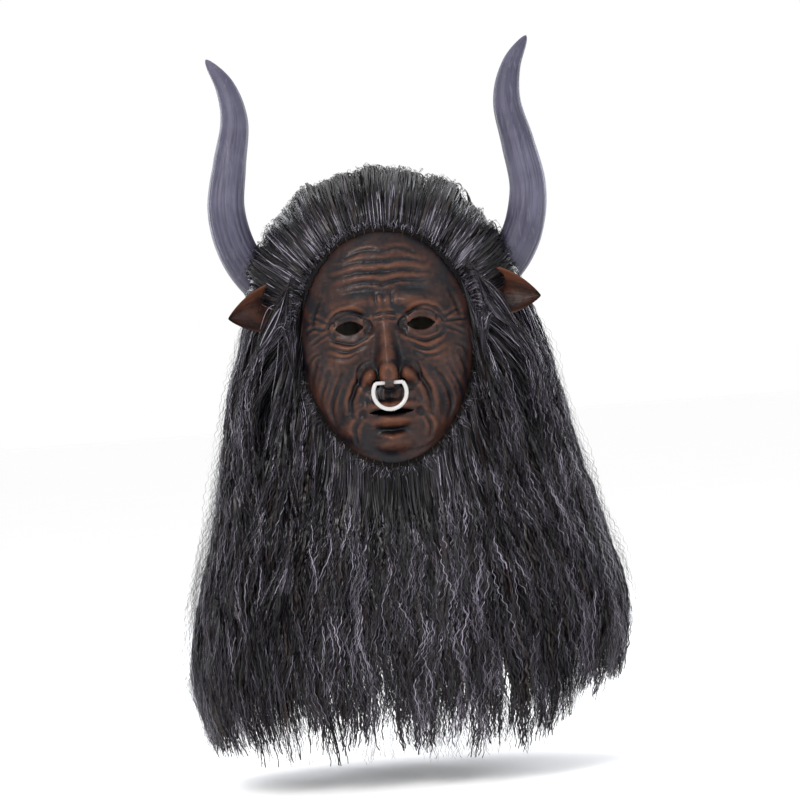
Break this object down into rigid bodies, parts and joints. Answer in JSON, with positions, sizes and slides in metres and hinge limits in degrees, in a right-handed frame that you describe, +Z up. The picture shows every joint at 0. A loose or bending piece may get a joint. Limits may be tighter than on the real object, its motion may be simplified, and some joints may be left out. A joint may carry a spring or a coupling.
{
  "type": "horned bull-head hood mask",
  "caption": "Over-the-head horned bull mask: moulded dark face sewn into a long-haired hood on a stiff cap, with ears, a swinging nose ring and an elastic head strap.",
  "frame": {"origin": "where the wearer's crown meets the flat underside of the foam crown pad", "axes": "+Z up, the face looks along -Y, +X is the mask's left side (the viewer's right)"},
  "size_m": [0.3858, 0.2515, 0.627],
  "materials": {
    "moulded_face": "antiqued dark brown, worn to red-brown on the ridges, satin",
    "septum": "dark brown satin",
    "binding": "dark woven edge binding",
    "thread": "brown waxed thread",
    "cap": "moulded stiff foam, matt",
    "foam_pad": "soft closed-cell foam",
    "tape": "tan seam tape",
    "hood": "black knitted cloth",
    "hair": "crimped synthetic fibre hair, charcoal black",
    "ear": "red-brown leathery, darker rims",
    "horn": "slate grey, matt, fine lengthwise grooves",
    "plug": "raw softwood",
    "plate": "milled",
    "screw": "zinc plated",
    "elastic": "pale woven elastic",
    "rivet": "nickel",
    "buckle": "black moulded",
    "ring": "white enamel over steel wire, glossy"
  },
  "bodies": {
    "mask": {"face_shell": "moulded_face", "septum_web": "septum", "rim_binding": "binding", "rim_stitches": "thread", "skull_cap": "cap", "crown_pad": "foam_pad", "brow_pad": "foam_pad", "seam_tapes": "tape", "hood_cloth": "hood", "crown_hair": "hair", "side_hair_left": "hair", "side_hair_right": "hair", "back_hair": "hair", "beard_hair": "hair", "ear_left": "ear", "ear_right": "ear", "ear_stitches": "thread", "horn_left": "horn", "horn_right": "horn", "horn_plug_left": "plug", "horn_plug_right": "plug", "horn_plate_left": "plate", "horn_plate_right": "plate", "horn_screws": "screw", "head_strap": "elastic", "strap_rivets": "rivet"},
    "ring": {"nose_ring": "ring"},
    "buckle": {"strap_buckle": "buckle"}
  },
  "joints": [
    {"name": "ring_swing", "type": "hinge", "parent": "mask", "child": "ring", "pos_m": [0, -0.122, -0.16104], "axis": [-1, 0, 0], "range_deg": [-6, 70]},
    {"name": "buckle_slide", "type": "slide", "parent": "mask", "child": "buckle", "axis": [1, 0, 0], "range_m": [-0.018, 0.018]}
  ]
}
